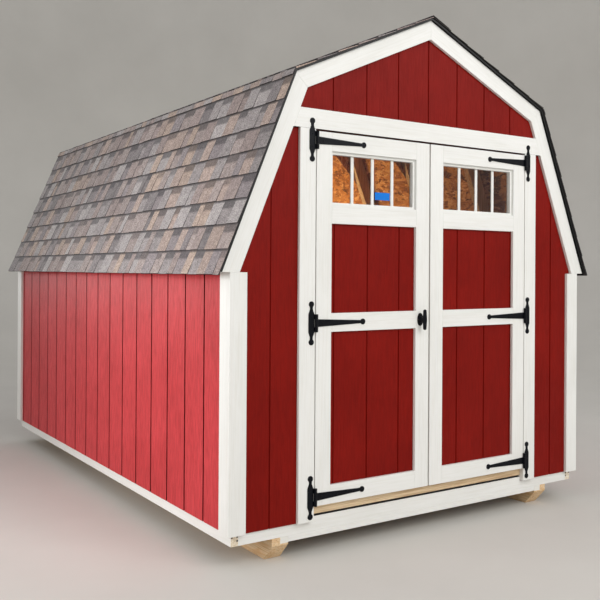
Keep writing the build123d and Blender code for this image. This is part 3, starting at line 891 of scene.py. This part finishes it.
def add_tab(bm, layers, profile, y_from, y_to, colour, head, laid_back, end_finish):
    """One tab: profile has its upper back, upper face, lower face and lower back points.

    head is how far up the exposure its upper end lies: 1 is the line of the course above.
    """
    colour_layer, back_layer = layers
    rows = [[bm.verts.new((x, y, z)) for x, z in profile] for y in (y_from, y_to)]
    near, far = rows
    upper = {near[0], near[1], far[0], far[1]}
    faces = [bm.faces.new(near), bm.faces.new(far[::-1])]
    for i in range(len(near)):
        after = (i + 1) % len(near)
        faces.append(bm.faces.new((near[i], far[i], far[after], near[after])))
    for face in faces:
        for loop in face.loops:
            loop[colour_layer] = (*colour, head if loop.vert in upper else 0.0)
            loop[back_layer] = laid_back
    faces[0].material_index = faces[1].material_index = end_finish
    # Butt and underside take the dark edge finish: dark asphalt, made darker as painted shade under each
    # course.
    faces[4].material_index = faces[5].material_index = 1


def tab_layers(bm):
    """What each corner of a tab carries: its colour and place up the exposure, and how it lies."""
    return bm.loops.layers.float_color.new("tab"), bm.loops.layers.float.new("laid_back")


def add_courses(bm, layers, rng, sign, start, down, out, butts, first_thickness, end_finish):
    """Courses of tabs down one slope to their butts, each lying on the head of the next."""

    def spot(along, off):
        point = start + down * along + out * off
        return (sign * point.x, point.y)

    for course, butt in enumerate(butts):
        upper_line = butts[course - 1] if course else 0.0
        tuck = shingle_tuck if course else 0.0
        begin = upper_line - tuck
        top = shingle_head * tab_head_share if course else first_thickness
        under = shingle_head if course < len(butts) - 1 else 0.0
        head = 1 + tuck / (butt - upper_line) if course else 0.0
        y = roof_front_y
        raised = rng.random() < tab_raised_share
        while y < roof_back_y:
            y_to = y + rng.uniform(*tab_width_range)
            if roof_back_y - y_to < tab_width_range[0]:
                y_to = roof_back_y
            thick = (shingle_butt if raised else shingle_gap_butt) + rng.uniform(*tab_lift_range)
            end = butt + rng.uniform(-shingle_slip, shingle_slip)
            profile = [spot(begin, 0.0), spot(begin, top), spot(end, thick), spot(end, under)]
            laid_back = 0.0 if raised else rng.choice(laid_back_shares)
            add_tab(bm, layers, profile, y, y_to, pick_blend(rng), head, laid_back, end_finish)
            y = y_to
            raised = not raised if rng.random() < tab_swap_share else raised


def make_shingles():
    """The courses on all four slopes."""
    top = Vector((0.0, upper_z(0.0, roof_sheet_thickness)))
    fold = break_at(roof_sheet_thickness)
    eave = Vector((eave_x, eave_z)) + lower_out * roof_sheet_thickness
    lower_end = (eave - fold).length + shingle_eave_overhang
    lower_count = math.ceil((lower_end - shingle_fold_lap) / shingle_exposure)
    lower_butts = [shingle_fold_lap + shingle_exposure * i for i in range(lower_count)] + [lower_end]
    upper_end = (fold - top).length
    upper_count = round(upper_end / shingle_exposure)
    upper_butts = [upper_end * (i + 1) / upper_count for i in range(upper_count)]
    lower = (fold, lower_down, lower_out, lower_butts, shingle_gap_butt, 1)
    upper = (top, upper_down, upper_out, upper_butts, shingle_head)
    rng = random.Random(shingle_seed)
    slopes = {
        "lower_shingle_courses": ("lower_shingles", lower, (-1, 1)),
        "upper_shingle_courses_left": ("upper_shingles_left", (*upper, 0), (-1,)),
        "upper_shingle_courses_right": ("upper_shingles_right", (*upper, 1), (1,)),
    }
    for name, (node, slope, signs) in slopes.items():
        bm = bmesh.new()
        layers = tab_layers(bm)
        for sign in signs:
            add_courses(bm, layers, rng, sign, *slope)
        finish_piece(bm, name, [granules, dark_edge_and_shade], "barn", [node])


def make_ridge_caps():
    """Folded caps along the ridge, each lapping over the one behind it."""
    rng = random.Random(cap_seed)
    bm = bmesh.new()
    layers = tab_layers(bm)
    count = round((roof_back_y - roof_front_y) / cap_exposure)
    pitch = (roof_back_y - roof_front_y) / count
    seat = roof_sheet_thickness + shingle_head
    for cap in range(count):
        near = roof_front_y + pitch * cap
        far = min(near + cap_length, roof_back_y)
        sections = []
        for y, lift in ((near, cap_lift), (far, cap_lift * (1 - (far - near) / cap_length))):
            ring = []
            for off in (seat + lift, seat + lift + cap_thickness):
                edge = upper_down * cap_half_width + upper_out * off
                edge_z = ridge_z + edge.y
                peak_z = ridge_z + off / upper_out.y
                ring.append([(-edge.x, edge_z), (0.0, peak_z), (edge.x, edge_z)])
            outline = ring[0] + ring[1][::-1]
            sections.append([bm.verts.new((x, y, z)) for x, z in outline])
        first, last = sections
        faces = [bm.faces.new(first), bm.faces.new(last[::-1])]
        for i in range(len(first)):
            after = (i + 1) % len(first)
            faces.append(bm.faces.new((first[i], last[i], last[after], first[after])))
        colour = pick_blend(rng)
        for face in faces:
            for loop in face.loops:
                loop[layers[0]] = (*colour, 0.0)
        for face in faces[:4]:
            face.material_index = 1
    finish_piece(bm, "ridge_cap_shingles", [granules, dark_edge_and_shade], "barn", ["ridge_cap"])


# Windows

def make_window_bars():
    """Upright bars in front of the panes."""
    for side, sign in (("left", -1), ("right", 1)):
        bm = bmesh.new()
        for bar in range(muntin_count):
            share = (bar + 1) / (muntin_count + 1)
            middle = pane_low.x + (pane_high.x - pane_low.x) * share
            left, right = sign * middle - muntin_width / 2, sign * middle + muntin_width / 2
            near, far = window_low.y + muntin_setback, pane_low.y - muntin_gap
            add_block(bm, (left, near, pane_low.z), (right, far, pane_high.z))
        ease_edges(bm, bm.edges[:], board_ease)
        finish_piece(bm, f"{side}_window_bars", [white_up], f"{side}_door")


def make_tape():
    """A blank strip of tape low on the left window's third pane."""
    pane_width = (pane_high.x - pane_low.x) / (muntin_count + 1)
    middle = -pane_high.x + pane_width * tape_panes_along
    low = pane_low.z + tape_rise
    face = pane_low.y
    bm = bmesh.new()
    rows = []
    for thick in (0.0, tape_thickness):
        for edge in (low, low + tape_height):
            row = []
            for step in range(tape_steps + 1):
                share = step / tape_steps
                lifted = max(0.0, share - tape_curl_from_share) / (1 - tape_curl_from_share)
                curl = tape_curl * lifted
                x = middle + tape_width * (share - 0.5)
                row.append(bm.verts.new((x, face - thick - curl, edge)))
            rows.append(row)
    back_low, back_high, front_low, front_high = rows
    strips = [
        (back_low, back_high),
        (front_low, front_high),
        (back_low, front_low),
        (back_high, front_high),
    ]
    for a, b in strips:
        for step in range(tape_steps):
            bm.faces.new((a[step], a[step + 1], b[step + 1], b[step]))
    for end in (0, tape_steps):
        bm.faces.new((back_low[end], back_high[end], front_high[end], front_low[end]))
    finish_piece(bm, "window_tape", [tape_paper], "left_door")


def make_head_gap_shade():
    """A thin black strip under the header, over the tops of the doors: painted shade in the gap there."""
    header_low, header_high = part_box("door_header")
    bm = bmesh.new()
    low = (header_low.x, header_low.y, header_low.z - head_gap_shade_drop)
    add_block(bm, low, (header_high.x, header_high.y, header_low.z))
    finish_piece(bm, "head_gap_shade", [drip_metal_and_gap_shade], "barn")


# Ironwork

def make_ironwork():
    """Hinges and handle."""
    names = {
        "hinge_plates": "hinge_plate_iron",
        "left_hinge_straps": "left_strap_iron",
        "right_hinge_straps": "right_strap_iron",
        "handle_base": "handle_rose",
        "t_handle": "t_handle_bar",
    }
    for node, name in names.items():
        bm = eased_mesh(node, iron_ease, iron_sharp_angle)
        finish_piece(bm, name, [iron], body_of(node), [node], iron_smooth_angle)


def hinge_heights():
    """Heights of a door's hinges: the points of its straps lie in groups that are far apart."""
    heights = sorted(vert.co.z for vert in frame["nodes"]["right_hinge_straps"].data.vertices)
    groups = [[heights[0]]]
    for z in heights[1:]:
        if z - groups[-1][-1] > hinge_apart:
            groups.append([])
        groups[-1].append(z)
    return [(group[0] + group[-1]) / 2 for group in groups]


def make_fasteners():
    """Screw heads on the hinges and nail heads on the ends of the side rims."""
    plate_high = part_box("hinge_plates")[1]
    strap_low, strap_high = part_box("right_hinge_straps")
    face = plate_high.y - iron_thickness
    plate_x = plate_high.x - plate_screw_inset
    centres = hinge_heights()
    for side, sign in (("left", -1), ("right", 1)):
        fixed = bmesh.new()
        moving = bmesh.new()
        for z in centres:
            for rise in plate_screw_rises:
                add_dome(fixed, (sign * plate_x, face, z + rise), (0, -1, 0), screw_radius, screw_height)
            for share in strap_screw_shares:
                x = strap_high.x - strap_screw_inset - (strap_high.x - strap_low.x) * share
                add_dome(moving, (sign * x, face, z), (0, -1, 0), screw_radius, screw_height)
        finish_piece(fixed, f"{side}_plate_screws", [iron], "barn",
                     smooth_angle=dome_smooth_angle)
        finish_piece(moving, f"{side}_strap_screws", [iron], f"{side}_door",
                     smooth_angle=dome_smooth_angle)

    nails = bmesh.new()
    rim_low, rim_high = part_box("side_rim_joists")
    middle_z = (rim_low.z + rim_high.z) / 2
    for sign in (-1, 1):
        for end, way in ((rim_low.y, -1), (rim_high.y, 1)):
            for inset, rise in rim_nail_places:
                spot = (sign * (rim_high.x - inset), end, middle_z + rise)
                add_dome(nails, spot, (0, way, 0), nail_radius, nail_height)
    finish_piece(nails, "rim_nails", [nail_metal], "barn")


# Stage, light and camera

def make_stage():
    """A round floor that sweeps up into a backdrop."""
    bm = bmesh.new()
    flat = stage_radius - stage_curve
    profile = [(flat, 0.0)]
    for bend in range(1, stage_bends + 1):
        angle = math.pi / 2 * bend / stage_bends
        profile.append((flat + stage_curve * math.sin(angle), stage_curve * (1 - math.cos(angle))))
    profile.append((stage_radius, stage_height))
    middle = bm.verts.new((0, 0, 0))
    angles = [2 * math.pi * turn / stage_turns for turn in range(stage_turns)]
    rings = []
    for radius, height in profile:
        spots = [(radius * math.cos(a), radius * math.sin(a), height) for a in angles]
        rings.append([bm.verts.new(spot) for spot in spots])
    for turn in range(stage_turns):
        after = (turn + 1) % stage_turns
        bm.faces.new((middle, rings[0][turn], rings[0][after]))
        for inner, outer in zip(rings, rings[1:]):
            bm.faces.new((inner[turn], outer[turn], outer[after], inner[after]))
    mesh = bpy.data.meshes.new("stage")
    bm.to_mesh(mesh)
    bm.free()
    mesh.shade_smooth()
    mesh.materials.append(stage_finish())
    stage = bpy.data.objects.new("stage", mesh)
    bpy.context.scene.collection.objects.link(stage)


def add_lamp(name, place, aim, size, power, colour=lamp_white, spread=math.pi):
    """A square soft light."""
    light = bpy.data.lights.new(name, "AREA")
    light.shape = "SQUARE"
    light.size = size
    light.energy = power
    light.spread = spread
    light.color = colour
    lamp = bpy.data.objects.new(name, light)
    lamp.location = place
    lamp.rotation_euler = (Vector(aim) - Vector(place)).to_track_quat("-Z", "Y").to_euler()
    lamp.visible_camera = False
    bpy.context.scene.collection.objects.link(lamp)
    return lamp


def make_light():
    """A pale world, a window light, a front fill, two cards that show only as gloss, and a glow inside."""
    world = bpy.data.worlds.new("studio")
    world.use_nodes = True
    background = world.node_tree.nodes["Background"]
    background.inputs["Color"].default_value = world_colour
    background.inputs["Strength"].default_value = world_strength
    bpy.context.scene.world = world
    add_lamp("side_window", place=(-4.0, -1.2, 1.4), aim=(-1.2, -0.8, 0.9), size=2.0, power=20.5,
             spread=side_beam)
    side_card = add_lamp("side_card", place=(-4.0, 4.6, 2.9), aim=(-1.2, -0.9, 1.2),
                         size=3.0, power=410.0)
    gable_card = add_lamp("gable_card", place=(5.3, -7.6, 4.8), aim=(0.0, -1.7, 2.3),
                          size=3.0, power=95.0)
    for card in (side_card, gable_card):
        card.visible_diffuse = False
        card.visible_transmission = False
    add_lamp("front_fill", place=(0.4, -7.6, 4.5), aim=(0.2, -1.0, 1.5), size=5.0, power=298.0)
    inside = add_lamp("room_glow", place=(0.2, 0.6, 1.0), aim=(0.7, 0.4, 2.4), size=0.7, power=29.0,
                      colour=lamp_warm)
    inside.visible_transmission = False
    inside.visible_glossy = False


def make_camera():
    """A camera turned by yaw, pitch and roll, with its lens shifted."""
    right = Vector((math.cos(camera_yaw), -math.sin(camera_yaw), 0))
    level = math.cos(camera_pitch)
    ahead = Vector((math.sin(camera_yaw) * level, math.cos(camera_yaw) * level, math.sin(camera_pitch)))
    up = right.cross(ahead)
    tilted_right = right * math.cos(camera_roll) + up * math.sin(camera_roll)
    tilted_up = up * math.cos(camera_roll) - right * math.sin(camera_roll)
    turn = Matrix((tilted_right, tilted_up, -ahead)).transposed().to_4x4()
    data = bpy.data.cameras.new("camera")
    data.sensor_width = camera_sensor
    data.lens = camera_lens
    data.shift_x, data.shift_y = camera_shift
    camera = bpy.data.objects.new("camera", data)
    camera.matrix_world = Matrix.Translation(Vector(camera_place)) @ turn
    bpy.context.scene.collection.objects.link(camera)
    bpy.context.scene.camera = camera


make_side_walls()
make_end_walls()
make_door_panels()
make_trim()
make_timber()
dress_kept_nodes()
make_shingles()
make_ridge_caps()
make_window_bars()
make_tape()
make_head_gap_shade()
make_ironwork()
make_fasteners()
make_stage()
make_light()
make_camera()

bpy.context.scene.view_settings.view_transform = "Standard"
